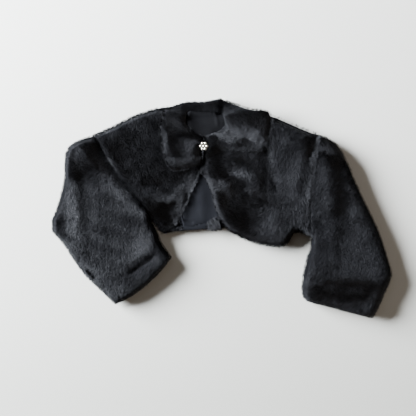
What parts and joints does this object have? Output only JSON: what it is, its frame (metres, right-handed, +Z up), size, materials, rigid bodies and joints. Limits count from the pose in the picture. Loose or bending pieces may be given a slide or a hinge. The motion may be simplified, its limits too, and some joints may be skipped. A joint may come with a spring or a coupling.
{
  "type": "fur bolero",
  "caption": "Short black fur bolero with three-quarter sleeves, a turned-down collar, rounded fronts and a stone-set button at the neck, laid flat with its front side up.",
  "frame": {"origin": "middle of the garment's outline, on the surface it lies on", "axes": "+X towards the wearer's left sleeve, +Y from hem to neck, +Z up from the surface"},
  "size_m": [0.6776, 0.432, 0.0349],
  "materials": {
    "fur": "dense black pile with a soft bluish sheen",
    "lining": "dark grey-blue satin",
    "setting": "polished pale metal",
    "stones": "clear faceted stones"
  },
  "bodies": {
    "root": {"back": "fur", "hem_turn_up": "fur", "front_left": "fur", "front_right": "fur", "collar_left": "fur", "collar_right": "fur", "sleeve_left": "fur", "sleeve_right": "fur", "back_lining": "lining", "button_setting": "setting", "button_stone_0": "stones", "button_stone_1": "stones", "button_stone_2": "stones", "button_stone_3": "stones", "button_stone_4": "stones", "button_stone_5": "stones", "button_stone_6": "stones"}
  },
  "joints": []
}
